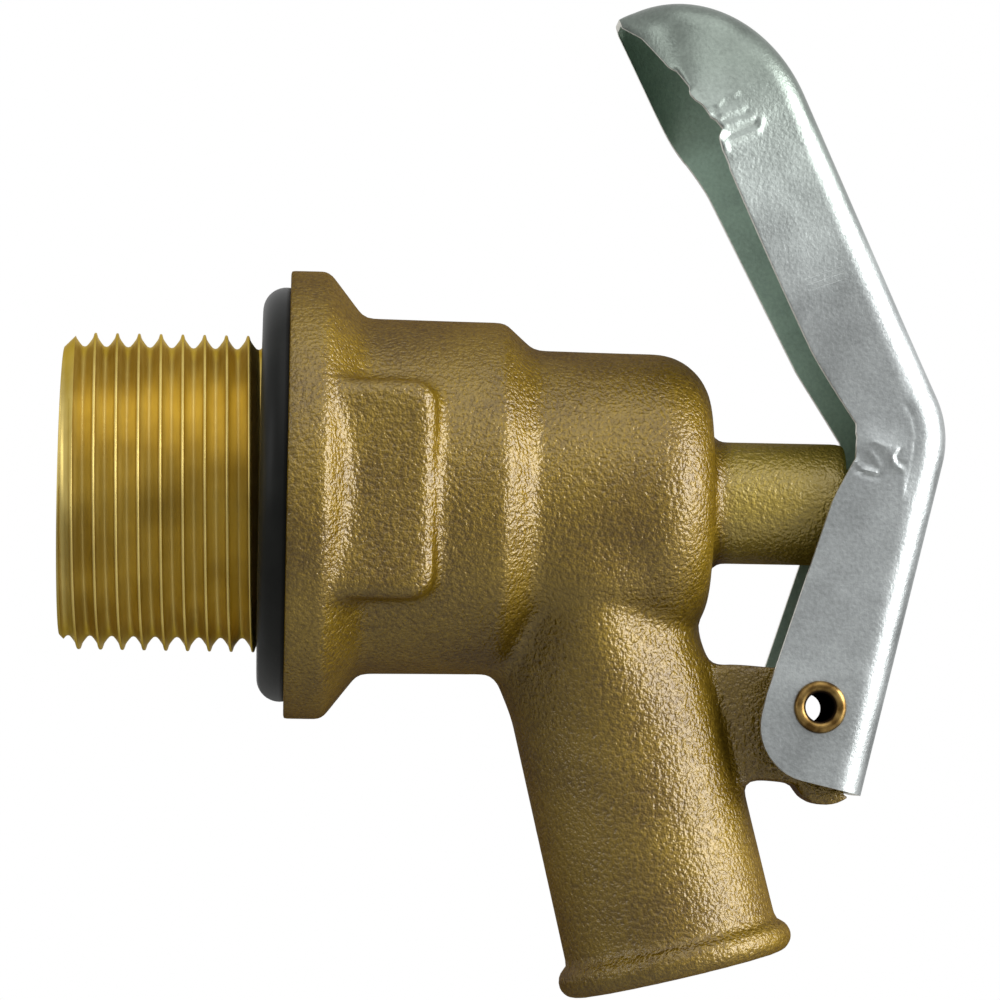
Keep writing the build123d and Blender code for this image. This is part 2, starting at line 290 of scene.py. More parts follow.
def sand_cast_brass(finishes):
    """Sand-cast brass, lightly blasted: olive-gold, with the mould's grain and white glints."""
    material = new_material("sand_cast_brass")
    tree = material.node_tree
    place = add(tree, "ShaderNodeTexCoord").outputs["Object"]
    # Sand grains of about 0.3 mm, and lumps of 1.2 mm where they packed unevenly
    grain = add(
        tree,
        "ShaderNodeTexNoise",
        {"Scale": per_metre(0.32), "Detail": 1.5, "Roughness": 0.55},
        {"Vector": place},
    )
    lumps = add(tree, "ShaderNodeTexNoise", {"Scale": per_metre(1.2), "Detail": 2.0}, {"Vector": place})
    patches = add(tree, "ShaderNodeTexNoise", {"Scale": per_metre(9.0), "Detail": 3.0}, {"Vector": place})
    height = add(
        tree,
        "ShaderNodeMix",
        {"data_type": "FLOAT", 0: 0.3},
        {2: grain.outputs["Fac"], 3: lumps.outputs["Fac"]},
    )
    bump = add(
        tree, "ShaderNodeBump", {"Strength": 1.0, "Distance": 0.25 * MM}, {"Height": height.outputs[0]}
    )
    tone = add(
        tree,
        "ShaderNodeMix",
        {"data_type": "FLOAT", 0: 0.5},
        {2: patches.outputs["Fac"], 3: grain.outputs["Fac"]},
    )
    base = add(
        tree,
        "ShaderNodeValToRGB",
        {"stops": [(0.35, list(finishes.cast_dark)), (0.6, list(finishes.cast_light))]},
        {"Fac": tone.outputs[0]},
    )
    # The stem boss, beyond the barrel's end and above the lug, is painted lighter and yellower: a painted
    # highlight.
    parts = add(tree, "ShaderNodeSeparateXYZ", links={0: place})
    beyond = add(
        tree,
        "ShaderNodeMapRange",
        {"From Min": 36.0 * MM, "From Max": 37.2 * MM, "To Max": 0.65},
        {"Value": parts.outputs["X"]},
    )
    above = add(
        tree,
        "ShaderNodeMapRange",
        {"From Min": -8.0 * MM, "From Max": -6.5 * MM},
        {"Value": parts.outputs["Z"]},
    )
    boss = add(
        tree, "ShaderNodeMath", {"operation": "MULTIPLY"}, {0: beyond.outputs[0], 1: above.outputs[0]}
    )
    # Painted highlight on the stem boss.
    colour = add(
        tree,
        "ShaderNodeMix",
        {"data_type": "RGBA", 7: linear("#96853A")},
        {0: boss.outputs[0], 6: base.outputs["Color"]},
    )
    metal = add(
        tree,
        "ShaderNodeBsdfPrincipled",
        {"Metallic": 1.0, "Roughness": 0.64, "Specular Tint": linear("#8E783C")},
        {"Base Color": colour.outputs[2], "Normal": bump.outputs[0]},
    )
    # Blasting leaves grain facets that glint white under a lamp
    glints = add(
        tree, "ShaderNodeBsdfAnisotropic", {"Color": WHITE, "Roughness": 0.18}, {"Normal": bump.outputs[0]}
    )
    shader = add(tree, "ShaderNodeMixShader", {0: 0.03}, {1: metal.outputs[0], 2: glints.outputs[0]})
    add(tree, "ShaderNodeOutputMaterial", links={"Surface": shader.outputs[0]})
    return material


def machined_brass(finishes):
    """Machined brass: bright warm gold, with fine tool lines around the axis."""
    material = new_material("machined_brass")
    tree = material.node_tree
    place = add(tree, "ShaderNodeTexCoord").outputs["Object"]
    # Tool lines of 0.12 mm run around X, so the pattern is squeezed along X alone
    squeezed = add(tree, "ShaderNodeMapping", {"Scale": (12.0, 0.6, 0.6)}, {"Vector": place})
    lines = add(
        tree,
        "ShaderNodeTexNoise",
        {"Scale": per_metre(1.5), "Detail": 2.0},
        {"Vector": squeezed.outputs[0]},
    )
    stains = add(tree, "ShaderNodeTexNoise", {"Scale": per_metre(5.0), "Detail": 4.0}, {"Vector": place})
    tone = add(
        tree,
        "ShaderNodeValToRGB",
        {"stops": [(0.3, linear("#AE9A5A")), (0.65, list(finishes.turned))]},
        {"Fac": stains.outputs["Fac"]},
    )
    rough = add(
        tree, "ShaderNodeMapRange", {"To Min": 0.3, "To Max": 0.45}, {"Value": lines.outputs["Fac"]}
    )
    bump = add(
        tree, "ShaderNodeBump", {"Strength": 0.12, "Distance": 0.03 * MM}, {"Height": lines.outputs["Fac"]}
    )
    shader = add(
        tree,
        "ShaderNodeBsdfPrincipled",
        {"Metallic": 1.0, "Specular Tint": linear("#C8B070")},
        {"Base Color": tone.outputs[0], "Roughness": rough.outputs[0], "Normal": bump.outputs[0]},
    )
    add(tree, "ShaderNodeOutputMaterial", links={"Surface": shader.outputs[0]})
    return material


def rivet_brass():
    """Rolled brass rivet: darker gold with a dull handled film, and painted shade in its bore."""
    material = new_material("rolled_rivet_brass")
    tree = material.node_tree
    place = add(tree, "ShaderNodeTexCoord").outputs["Object"]
    film = add(tree, "ShaderNodeTexNoise", {"Scale": per_metre(1.2), "Detail": 3.0}, {"Vector": place})
    tone = add(
        tree,
        "ShaderNodeValToRGB",
        {"stops": [(0.35, linear("#4E3A1C")), (0.65, linear("#8E7444"))]},
        {"Fac": film.outputs["Fac"]},
    )
    # The bore, within 1.3 mm of the rivet's axis, is painted dark: painted shade inside the hollow rivet.
    shifted = add(
        tree,
        "ShaderNodeMapping",
        {"Location": (-PIVOT.x * MM, 0, -PIVOT.y * MM), "Scale": (1, 0, 1)},
        {"Vector": place},
    )
    radius = add(tree, "ShaderNodeVectorMath", {"operation": "LENGTH"}, {0: shifted.outputs[0]})
    outside = add(
        tree,
        "ShaderNodeMapRange",
        {"From Min": 1.3 * MM, "From Max": 1.5 * MM},
        {"Value": radius.outputs["Value"]},
    )
    bump = add(
        tree, "ShaderNodeBump", {"Strength": 0.2, "Distance": 0.05 * MM}, {"Height": film.outputs["Fac"]}
    )
    shader = add(
        tree,
        "ShaderNodeBsdfPrincipled",
        {"Metallic": 1.0, "Roughness": 0.34},
        {"Base Color": tone.outputs[0], "Normal": bump.outputs[0]},
    )
    # Painted shade for the bore: dark and matt, with no reflection.
    painted_bore_shade = add(tree, "ShaderNodeBsdfDiffuse", {"Color": linear("#1C140D")})
    mixed_shader = add(
        tree, "ShaderNodeMixShader", links={0: outside.outputs[0], 1: painted_bore_shade.outputs[0], 2: shader.outputs[0]}
    )
    add(tree, "ShaderNodeOutputMaterial", links={"Surface": mixed_shader.outputs[0]})
    return material


def flange_scratches(tree, place):
    """Depth of three scratches, 0.5 mm apart and 3.4 mm long, on the near flange's middle."""
    middle = (-44.1 * MM, 0, -18.4 * MM)
    moved = add(tree, "ShaderNodeMapping", {"Location": middle}, {"Vector": place})
    along = add(
        tree, "ShaderNodeMapping", {"Rotation": (0, radians(20.5), 0)}, {"Vector": moved.outputs[0]}
    )
    parts = add(tree, "ShaderNodeSeparateXYZ", links={0: along.outputs[0]})
    angle = add(
        tree,
        "ShaderNodeMath",
        {"operation": "MULTIPLY", 1: 2 * pi * per_metre(0.5)},
        {0: parts.outputs["Z"]},
    )
    wave = add(tree, "ShaderNodeMath", {"operation": "COSINE"}, {0: angle.outputs[0]})
    depth = add(
        tree,
        "ShaderNodeMapRange",
        {"From Min": 0.55, "From Max": 1.0, "To Max": 0.5},
        {"Value": wave.outputs[0]},
    )
    near = add(
        tree, "ShaderNodeMapRange", {"From Min": 0.0, "From Max": -1.0 * MM}, {"Value": parts.outputs["Y"]}
    )
    masks = [near]
    for axis, half in (("X", 1.7), ("Z", 0.8)):
        size = add(tree, "ShaderNodeMath", {"operation": "ABSOLUTE"}, {0: parts.outputs[axis]})
        inside = add(
            tree,
            "ShaderNodeMapRange",
            {"From Min": half * MM, "From Max": (half - 0.3) * MM},
            {"Value": size.outputs[0]},
        )
        masks.append(inside)
    for mask in masks:
        depth = add(
            tree, "ShaderNodeMath", {"operation": "MULTIPLY"}, {0: depth.outputs[0], 1: mask.outputs[0]}
        )
    return depth.outputs[0]


def zinc_plate(name, colour_low, colour_high, gloss, metallic):
    """Zinc-plated, passivated steel: silver-grey, greener towards the thumb tip, with handling marks."""
    material = new_material(name)
    tree = material.node_tree
    place = add(tree, "ShaderNodeTexCoord").outputs["Object"]
    # Plating grain of 0.3 mm, clouding of 6 mm, and wipe marks 0.25 mm wide along the arm
    grain = add(tree, "ShaderNodeTexNoise", {"Scale": per_metre(0.3), "Detail": 3.0}, {"Vector": place})
    clouds = add(
        tree,
        "ShaderNodeTexNoise",
        {"Scale": per_metre(6.0), "Detail": 4.0, "Distortion": 0.6},
        {"Vector": place},
    )
    turned = add(
        tree,
        "ShaderNodeMapping",
        {"Rotation": (0, radians(25), 0), "Scale": (6.0, 6.0, 0.35)},
        {"Vector": place},
    )
    wipes = add(
        tree, "ShaderNodeTexNoise", {"Scale": per_metre(1.5), "Detail": 2.0}, {"Vector": turned.outputs[0]}
    )
    height = add(tree, "ShaderNodeSeparateXYZ", links={0: place})
    green = add(
        tree,
        "ShaderNodeMapRange",
        {"From Min": 15 * MM, "From Max": 36 * MM, "To Min": 0.0, "To Max": 0.85},
        {"Value": height.outputs["Z"]},
    )
    base = add(
        tree,
        "ShaderNodeMix",
        {"data_type": "RGBA", 6: colour_low, 7: colour_high},
        {0: green.outputs[0]},
    )
    shade = add(
        tree,
        "ShaderNodeMix",
        {"data_type": "FLOAT", 0: 0.4},
        {2: clouds.outputs["Fac"], 3: grain.outputs["Fac"]},
    )
    level = add(
        tree,
        "ShaderNodeValToRGB",
        {"stops": [(0.36, linear("#D8D8D8")), (0.64, WHITE)]},
        {"Fac": shade.outputs[0]},
    )
    colour = add(
        tree,
        "ShaderNodeMix",
        {"data_type": "RGBA", "blend_type": "MULTIPLY", 0: 1.0},
        {6: base.outputs[2], 7: level.outputs[0]},
    )
    rough = add(
        tree,
        "ShaderNodeMapRange",
        {"To Min": gloss, "To Max": gloss + 0.17},
        {"Value": clouds.outputs["Fac"]},
    )
    relief = add(
        tree,
        "ShaderNodeMix",
        {"data_type": "FLOAT", 0: 0.15},
        {2: grain.outputs["Fac"], 3: wipes.outputs["Fac"]},
    )
    relief = add(
        tree,
        "ShaderNodeMath",
        {"operation": "SUBTRACT"},
        {0: relief.outputs[0], 1: flange_scratches(tree, place)},
    )
    bump = add(
        tree, "ShaderNodeBump", {"Strength": 0.42, "Distance": 0.08 * MM}, {"Height": relief.outputs[0]}
    )
    shader = add(
        tree,
        "ShaderNodeBsdfPrincipled",
        {"Metallic": metallic},
        {"Base Color": colour.outputs[2], "Roughness": rough.outputs[0], "Normal": bump.outputs[0]},
    )
    add(tree, "ShaderNodeOutputMaterial", links={"Surface": shader.outputs[0]})
    return material


def cut_edge_painted_highlight():
    """Sheared edge of the plated sheet: thin plating over torn steel, with a yellowish passivation, painted
    pale almost to white as a painted highlight along the rims.
    """
    material = new_material("zinc_plated_cut_edge_painted_highlight")
    tree = material.node_tree
    place = add(tree, "ShaderNodeTexCoord").outputs["Object"]
    # Tear marks of the shear, 0.3 mm apart
    tears = add(tree, "ShaderNodeTexNoise", {"Scale": per_metre(0.3), "Detail": 3.0}, {"Vector": place})
    # The pale tones lighten the steel's grey into a painted highlight.
    tone = add(
        tree,
        "ShaderNodeValToRGB",
        {"stops": [(0.3, linear("#A09E94")), (0.7, linear("#DEDCD0"))]},
        {"Fac": tears.outputs["Fac"]},
    )
    bump = add(
        tree, "ShaderNodeBump", {"Strength": 0.3, "Distance": 0.04 * MM}, {"Height": tears.outputs["Fac"]}
    )
    shader = add(
        tree,
        "ShaderNodeBsdfPrincipled",
        {"Metallic": 1.0, "Roughness": 0.4},
        {"Base Color": tone.outputs[0], "Normal": bump.outputs[0]},
    )
    add(tree, "ShaderNodeOutputMaterial", links={"Surface": shader.outputs[0]})
    return material


def spring_steel():
    """Drawn spring steel: dark blue-grey with draw marks."""
    material = new_material("drawn_spring_steel")
    tree = material.node_tree
    place = add(tree, "ShaderNodeTexCoord").outputs["Object"]
    marks = add(tree, "ShaderNodeTexNoise", {"Scale": per_metre(0.4), "Detail": 3.0}, {"Vector": place})
    tone = add(
        tree,
        "ShaderNodeValToRGB",
        {"stops": [(0.3, linear("#6F7276")), (0.7, linear("#A3A6A8"))]},
        {"Fac": marks.outputs["Fac"]},
    )
    shader = add(
        tree,
        "ShaderNodeBsdfPrincipled",
        {"Metallic": 1.0, "Roughness": 0.32},
        {"Base Color": tone.outputs[0]},
    )
    add(tree, "ShaderNodeOutputMaterial", links={"Surface": shader.outputs[0]})
    return material


def seal_rubber(finishes):
    """Moulded nitrile rubber: satin black with a faint dusty bloom."""
    material = new_material("moulded_nitrile_rubber")
    tree = material.node_tree
    place = add(tree, "ShaderNodeTexCoord").outputs["Object"]
    bloom = add(tree, "ShaderNodeTexNoise", {"Scale": per_metre(3.0), "Detail": 4.0}, {"Vector": place})
    tone = add(
        tree,
        "ShaderNodeValToRGB",
        {"stops": [(0.4, list(finishes.rubber)), (0.75, linear("#161715"))]},
        {"Fac": bloom.outputs["Fac"]},
    )
    skin = add(tree, "ShaderNodeTexNoise", {"Scale": per_metre(0.3), "Detail": 2.0}, {"Vector": place})
    bump = add(
        tree, "ShaderNodeBump", {"Strength": 0.12, "Distance": 0.03 * MM}, {"Height": skin.outputs["Fac"]}
    )
    shader = add(
        tree,
        "ShaderNodeBsdfPrincipled",
        {"Roughness": 0.42, "Specular IOR Level": 0.13},
        {"Base Color": tone.outputs[0], "Normal": bump.outputs[0]},
    )
    add(tree, "ShaderNodeOutputMaterial", links={"Surface": shader.outputs[0]})
    return material


def draw_line(name, points):
    """An open line of vertices, extruded from point to point."""
    bpy.ops.object.select_all(action="DESELECT")
    bpy.ops.mesh.primitive_plane_add(size=MM)
    obj = bpy.context.object
    obj.name = name
    bpy.ops.object.mode_set(mode="EDIT")
    bpy.ops.mesh.select_all(action="SELECT")
    bpy.ops.mesh.merge(type="CENTER")
    bpy.ops.transform.translate(value=points[0])
    for here, there in zip(points, points[1:]):
        step = tuple(b - a for a, b in zip(here, there))
        bpy.ops.mesh.extrude_vertices_move(TRANSFORM_OT_translate={"value": step})
    bpy.ops.object.mode_set(mode="OBJECT")
    return obj


def apply_modifier(obj, kind, **settings):
    """Add a modifier, set it and apply it."""
    select_only(obj)
    modifier = obj.modifiers.new(kind.title(), kind)
    for key, value in settings.items():
        setattr(modifier, key, value)
    bpy.ops.object.modifier_apply(modifier=modifier.name)


# One thread's outline: share of a pitch along the axis, share of the thread's depth
THREAD_FLANK = (
    (0.05, 0.97),
    (0.075, 0.86),
    (0.11, 0.66),
    (0.17, 0.5),
    (0.3, 0.22),
    (0.4, 0.05),
    (0.5, 0.0),
)
THREAD_STEPS = 120
THREAD_OUTLINE = [(-u, v) for u, v in reversed(THREAD_FLANK)] + [(0.0, 1.0)] + list(THREAD_FLANK)


def wind(obj, steps, pitch=0.0, turns=1):
    """Sweep an outline about X, with a pitch for a screw, and stay in edit mode with all of it selected."""
    apply_modifier(
        obj,
        "SCREW",
        axis="X",
        angle=2 * pi,
        screw_offset=pitch,
        iterations=turns,
        steps=steps,
        render_steps=steps,
        use_merge_vertices=True,
        merge_threshold=0.002 * MM,
    )
    bpy.ops.object.mode_set(mode="EDIT")
    bpy.ops.mesh.select_all(action="SELECT")
    bpy.ops.mesh.remove_doubles(threshold=0.004 * MM)


def cut_ends(left, right, threshold):
    """Cut a wound mesh off square at two places along X, close it and leave edit mode."""
    for place, cleared in ((left, "clear_inner"), (right, "clear_outer")):
        bpy.ops.mesh.select_all(action="SELECT")
        bpy.ops.mesh.bisect(
            plane_co=(place, 0, 0),
            plane_no=(1, 0, 0),
            use_fill=True,
            threshold=threshold,
            **{cleared: True},
        )
    bpy.ops.mesh.select_all(action="SELECT")
    bpy.ops.mesh.normals_make_consistent(inside=False)
    bpy.ops.object.mode_set(mode="OBJECT")


def turned_ring(name, outline):
    """A solid ring turned about X from a closed outline of (x, radius) points."""
    ring = draw_line(name, [(x, 0, radius) for x, radius in outline + outline[:1]])
    wind(ring, THREAD_STEPS)
    bpy.ops.mesh.normals_make_consistent(inside=False)
    bpy.ops.object.mode_set(mode="OBJECT")
    return ring


def screw_thread(sizes):
    """Right-hand thread wound on the inlet, cut off beside the flange and chamfered at the mouth."""
    depth = sizes.crest_radius - sizes.root_radius
    first = sizes.thread_end - 1.6 * sizes.pitch
    points = [(first + u * sizes.pitch, 0, sizes.root_radius + v * depth) for u, v in THREAD_OUTLINE]
    thread = draw_line("inlet_thread", points)
    turns = int((sizes.thread_start - sizes.thread_end) / sizes.pitch) + 4
    wind(thread, THREAD_STEPS, sizes.pitch, turns)
    cut_ends(sizes.thread_end - 0.3 * MM, sizes.thread_start + 0.3 * MM, 0.1 * MM)
    # The tool's envelope: end face, mouth chamfer, and a sleeve wall that hides in the casting's stub
    above = sizes.crest_radius + 0.1 * MM
    within = 0.9 * sizes.root_radius
    lip = sizes.thread_end + 1.0 * MM
    envelope = turned_ring(
        "thread_envelope",
        [
            (sizes.thread_end, sizes.bore_radius),
            (sizes.thread_end, sizes.end_radius),
            (sizes.thread_end + above - sizes.end_radius, above),
            (sizes.thread_start, above),
            (sizes.thread_start, within),
            (lip, within),
            (lip, sizes.bore_radius),
        ],
    )
    apply_modifier(thread, "BOOLEAN", operation="INTERSECT", object=envelope, solver="EXACT")
    bpy.data.objects.remove(envelope)
    select_only(thread)
    bpy.ops.object.shade_smooth_by_angle(angle=radians(35))
    return thread


# The spout's axis: x where it crosses the inlet's axis, and its lean
SPOUT_TOP = 22.9
SPOUT_LEAN = radians(14.1)
# The photographed spout stands this much further forward and up than the solid's
SPOUT_SHIFT = (0.5 * MM, 0, 0.25 * MM)
SPOUT_SHIFT_REACH = 5.0 * MM
# Fuller sides of the spout where it leaves the barrel: where on the near and far side, and how far out
SPOUT_SHOULDER = (((25.0, 8.9, -9.0), 1.5), ((26.4, 8.8, -14.5), 0.6))
SHOULDER_REACH = 6.5 * MM


def along_spout(place):
    """How far down the spout's axis a point is, and how far off it, in millimetres."""
    x, y, z = place / MM
    down = (x - SPOUT_TOP) * sin(SPOUT_LEAN) - z * cos(SPOUT_LEAN)
    across = (x - SPOUT_TOP) * cos(SPOUT_LEAN) + z * sin(SPOUT_LEAN)
    return down, Vector((y, across)).length


def off_inlet_axis(place):
    """How far a point is from the inlet's axis, in millimetres."""
    return Vector((place.y, place.z)).length / MM


def in_spout_tube(place):
    """The spout below its root, inside and outside."""
    down, off_axis = along_spout(place)
    return down > 17.5 and off_axis < 10.5


def in_spout_root(place):
    """The casting's outside where the spout leaves the barrel."""
    down, off_axis = along_spout(place)
    return 7.5 < down < 16.5 and 8.0 < off_axis < 12.0 and off_inlet_axis(place) > 10.5


def in_pad_edge(place):
    """The casting's outside around both spanner pads."""
    x, z = place.x / MM, place.z / MM
    return 3.4 < x < 14.0 and abs(z) < 11.0 and off_inlet_axis(place) > 13.5


def is_machined(place):
    """Where a tool has cut: the inlet stub, the bores and the stem boss's end."""
    x, radius = place.x / MM, off_inlet_axis(place)
    in_stub = x < 1.6 and radius < 12.7
    in_bore = x < 16 and radius < 10.6
    on_boss_end = x > 46.3 and radius < 5.3
    return in_stub or in_bore or on_boss_end


def soft_move(move, reach):
    """Move the picked vertices and, less and less out to a reach, those around them."""
    bpy.ops.transform.translate(
        value=move,
        use_proportional_edit=True,
        use_proportional_connected=True,
        proportional_edit_falloff="SMOOTH",
        proportional_size=reach,
    )
    bpy.ops.object.mode_set(mode="OBJECT")


class TAP_OT_casting(bpy.types.Operator):
    """Cast body: the frame's solid with a real thread in place of its crest cylinder"""

    bl_idname = "tap.casting"
    bl_label = "Cast body and thread"

    def execute(self, context):
        sizes = context.scene.tap_sizes
        finishes = context.scene.tap_finishes
        body = copy_of_node("valve_body", "tap_casting")
        body.data.materials.append(sand_cast_brass(finishes))
        body.data.materials.append(machined_brass(finishes))

        def on_crest(place):
            radius = Vector((place.y, place.z)).length
            return place.x < -0.3 * MM and sizes.root_radius < radius < sizes.crest_radius + 0.1 * MM

        def on_end(place):
            return place.x < sizes.thread_end + 0.1 * MM

        pick_vertices(body, on_crest)
        narrow = 0.98 * sizes.root_radius / sizes.crest_radius
        bpy.ops.transform.resize(value=(1, narrow, narrow), center_override=(0, 0, 0))
        bpy.ops.object.mode_set(mode="OBJECT")
        pick_vertices(body, on_end)
        bpy.ops.transform.translate(value=(0.4 * MM, 0, 0))
        bpy.ops.object.mode_set(mode="OBJECT")
        body.data.remesh_voxel_size = sizes.casting_grid
        body.data.remesh_voxel_adaptivity = 0
        bpy.ops.object.voxel_remesh()
        apply_modifier(body, "SMOOTH", factor=0.5, iterations=4)
        pick_vertices(body, in_spout_tube)
        soft_move(SPOUT_SHIFT, SPOUT_SHIFT_REACH)
        for place, push in SPOUT_SHOULDER:
            for side in (-1, 1):
                centre = Vector((place[0], side * place[1], place[2])) * MM
                nearest = min(body.data.vertices, key=lambda vertex: (vertex.co - centre).length).co.copy()
                pick_vertices(body, lambda co, at=nearest: (co - at).length < 0.3 * MM)
                soft_move((0, side * push * MM, 0), SHOULDER_REACH)
        for wanted, repeat in ((in_spout_root, 3), (in_pad_edge, 6)):
            pick_vertices(body, wanted)
            bpy.ops.mesh.vertices_smooth(factor=0.5, repeat=repeat)
            bpy.ops.object.mode_set(mode="OBJECT")
        for face in body.data.polygons:
            face.material_index = int(is_machined(face.center))
        bpy.ops.object.shade_smooth_by_angle(angle=radians(40))
        thread = screw_thread(sizes)
        thread.data.materials.append(bpy.data.materials["sand_cast_brass"])
        thread.data.materials.append(bpy.data.materials["machined_brass"])
        for face in thread.data.polygons:
            face.material_index = 1
        select_only(body)
        thread.select_set(True)
        bpy.ops.object.join()
        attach(body, "body")
        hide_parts("valve_body")
        return {"FINISHED"}


# Path of the lever's outer face in the middle plane, as (x, z) in millimetres
LOWER_LEAN = radians(13.1)
UPPER_LEAN = radians(25.1)
LOWER_UP = Vector((sin(LOWER_LEAN), cos(LOWER_LEAN)))
LOWER_IN = Vector((-cos(LOWER_LEAN), sin(LOWER_LEAN)))
UPPER_UP = Vector((-sin(UPPER_LEAN), cos(UPPER_LEAN)))
UPPER_IN = Vector((-cos(UPPER_LEAN), -sin(UPPER_LEAN)))
# The sheet's thickness, its fold's outer radius and half the web's width
SHEET = 1.1
FOLD = 2.6
HALF_WEB = 6.7
# The rounded foot below the pivot
FOOT_LENGTH = 6.25
FOOT_DEPTH = 9.75
FOOT_CORNER = 4.6
# The bend, and how much shallower the near rim is there: in the bend, at its corners, and on each side the
# distance of the corner and how far beyond it the cut runs out
KNEE_RADIUS = 8.5
KNEE_DEPTH = 7.9
KNEE_RIM_CUT = 0.3
KNEE_CORNER_CUT = 0.7
KNEE_CUT_BELOW = (1.45, 4.0)
KNEE_CUT_ABOVE = (0.7, 7.0)
# The upper arm widens to the thumb tip, which curls over: half widths there, and shares of the way
THUMB_WEB = 8.25
THUMB_RIM = 10.75
SOFT_START = 0.3
TIP_RADIUS = 12.4
TIP_SWEEP = radians(84.0)
TIP_DEPTH = 8.5
TIP_EDGE_DEPTH = 0.8
TIP_SWELL = 0.5
TIP_NARROWING = 0.975
TIP_ROUNDNESS = 2.7
TIP_THINNING = 0.5
# How the two rims differ in depth on the upper arm and round the tip
FAR_RIM_EXTRA = 0.7
FAR_THUMB_EXTRA = 0.5
FAR_THUMB_START = 0.86
NEAR_RIM_EXTRA = 0.2
NEAR_TIP_CUT = 0.42
NEAR_TIP_START = 0.92
NEAR_TIP_HOLLOW = 0.15
# Where the arms' outer faces meet and the tip's curl starts
WEB_LEVEL = PIVOT - LOWER_IN * 5.25
KNEE = WEB_LEVEL + LOWER_UP * 25.1
TIP_START = KNEE + UPPER_UP * 30.3
TIP_CENTRE = TIP_START + UPPER_IN * TIP_RADIUS


def mixed(low, high, share):
    """The value at a share of the way from low to high."""
    return low + (high - low) * share


def spaced(spans):
    """Shares of a length between 0 and 1, evenly spaced within each (end share, count) span."""
    shares, start = [], 0
    for end, count in spans:
        shares += [mixed(start, end, step / count) for step in range(1, count + 1)]
        start = end
    return shares[:-1]


def knee_cut(along, corner, reach):
    """How much shallower the near rim is this far from the knee's bend, most at the corner."""
    if along < corner:
        return mixed(KNEE_RIM_CUT, KNEE_CORNER_CUT, along / corner)
    return KNEE_CORNER_CUT * max(1 - (along - corner) / reach, 0) ** 1.2


# A section of the lever: the web's outer point, the way inwards, half widths of web and rim, the flanges'
# depth and the depth that the rim's width is for, what each rim adds, and how much the sheet is thinned
Station = namedtuple(
    "Station", "point inward web rim depth full_depth near_extra far_extra thinning", defaults=(0, 0, 0)
)
FOOT_ROWS = 12
KNEE_ROWS = 24
TIP_ROWS = 60


